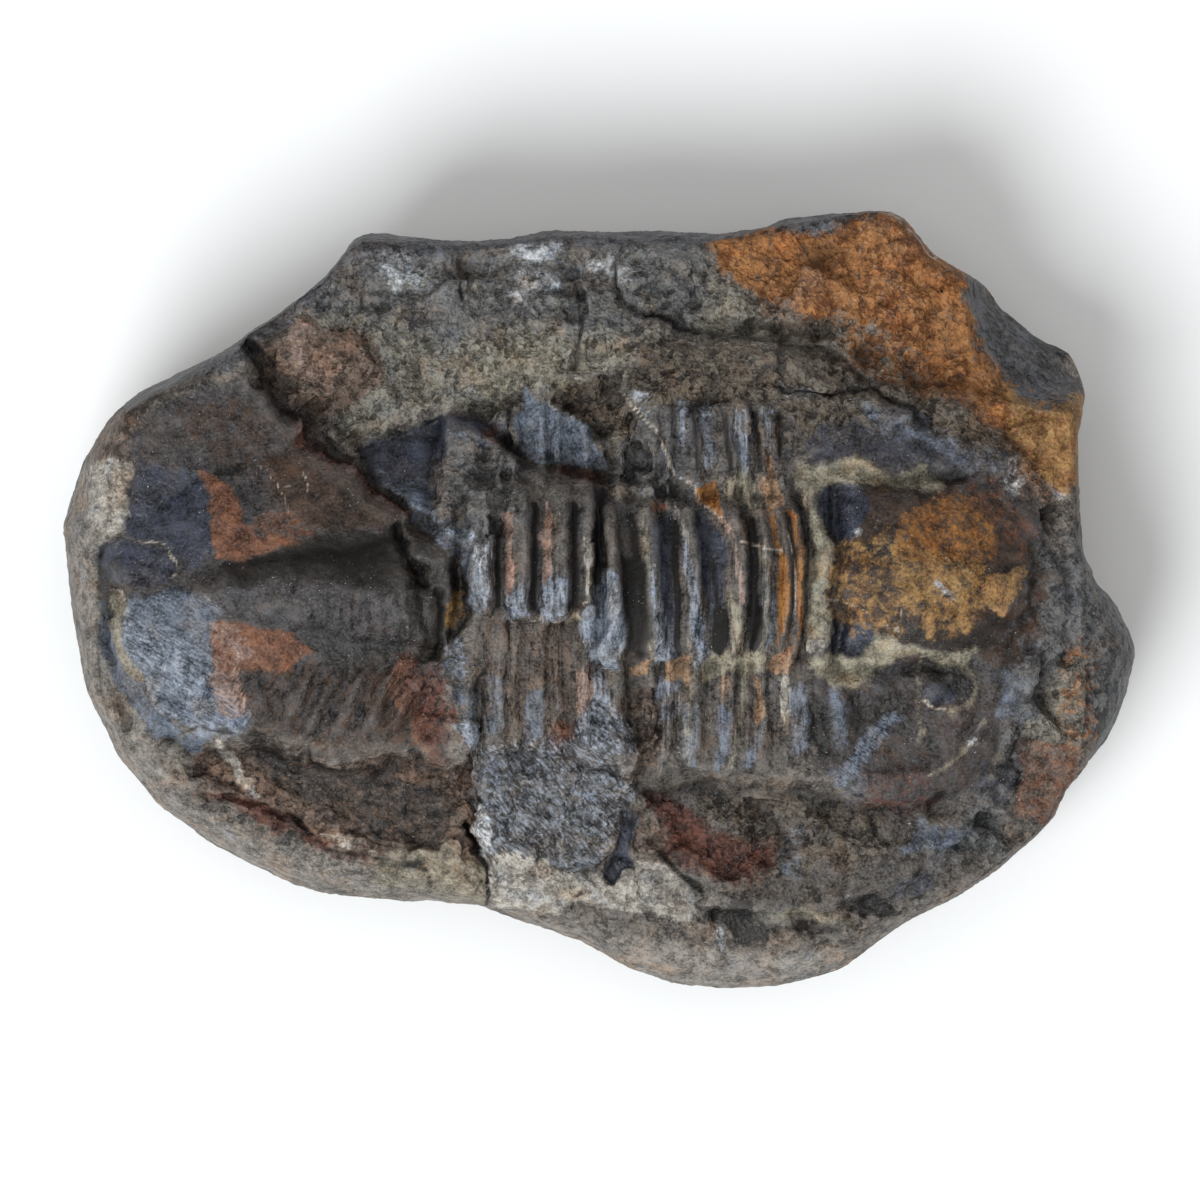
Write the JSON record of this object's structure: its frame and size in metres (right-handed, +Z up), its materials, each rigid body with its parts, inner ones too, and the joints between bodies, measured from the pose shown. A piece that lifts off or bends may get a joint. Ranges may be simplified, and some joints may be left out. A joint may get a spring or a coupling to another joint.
{
  "type": "trilobite fossil in a stone nodule",
  "caption": "Whole trilobite in low relief on the face of a dark rounded stone nodule, with segmented middle, vaulted head and broken tail; the underside is flat.",
  "frame": {"origin": "middle of the bounding box in X and Y, on the surface the stone lies on", "axes": "+X along the animal towards its head, +Y across it, +Z up out of the fossil face"},
  "size_m": [0.1195, 0.0868, 0.0356],
  "materials": {
    "stone": "dull to satin"
  },
  "bodies": {
    "root": {"fossil_nodule": "stone"}
  },
  "joints": []
}
